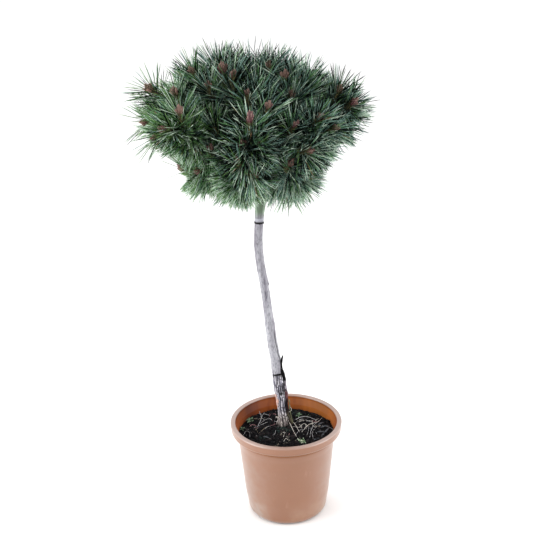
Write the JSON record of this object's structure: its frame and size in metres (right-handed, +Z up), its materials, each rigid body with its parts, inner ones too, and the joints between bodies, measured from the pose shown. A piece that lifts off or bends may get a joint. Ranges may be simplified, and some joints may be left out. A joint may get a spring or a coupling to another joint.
{
  "type": "potted dwarf pine on a half-standard stem",
  "caption": "Dwarf pine grafted on a bare leaning stem: an uneven dome of long-needled shoots over a round tapered nursery pot filled with compost.",
  "frame": {"origin": "centre of the pot's flat underside, where it stands on the ground", "axes": "+Z up; -Y is the front, so +X is to the right as seen from the front; the stem leans towards -X"},
  "size_m": [0.4953, 0.5048, 1.0597],
  "materials": {
    "pot": "terracotta-coloured moulded plastic, satin",
    "soil": "damp dark compost with bark crumbs and dead needles",
    "bark": "pale grey bark, fissured near the foot",
    "dead_wood": "dead shoot, brown below and black above",
    "tie": "black tie",
    "bough": "rough brown-grey bark",
    "needles": "stiff dark green needles with a pale bloom"
  },
  "bodies": {
    "root": {"pot": "pot", "potting_soil": "soil", "trunk": "bark", "dead_side_shoot": "dead_wood", "lower_tie": "tie", "upper_tie": "tie", "leader": "bough", "bough_low_1": "bough", "bough_low_2": "bough", "bough_low_3": "bough", "bough_low_4": "bough", "bough_low_5": "bough", "bough_low_6": "bough", "bough_mid_1": "bough", "bough_mid_2": "bough", "bough_mid_3": "bough", "bough_mid_4": "bough", "bough_mid_5": "bough", "bough_mid_6": "bough", "bough_mid_7": "bough", "bough_mid_8": "bough", "bough_high_1": "bough", "bough_high_2": "bough", "bough_high_3": "bough", "bough_high_4": "bough", "bough_high_5": "bough", "needles_low_1": "needles", "needles_low_2": "needles", "needles_low_3": "needles", "needles_low_4": "needles", "needles_low_5": "needles", "needles_low_6": "needles", "needles_mid_1": "needles", "needles_mid_2": "needles", "needles_mid_3": "needles", "needles_mid_4": "needles", "needles_mid_5": "needles", "needles_mid_6": "needles", "needles_mid_7": "needles", "needles_mid_8": "needles", "needles_high_1": "needles", "needles_high_2": "needles", "needles_high_3": "needles", "needles_high_4": "needles", "needles_high_5": "needles", "needles_top": "needles"}
  },
  "joints": []
}
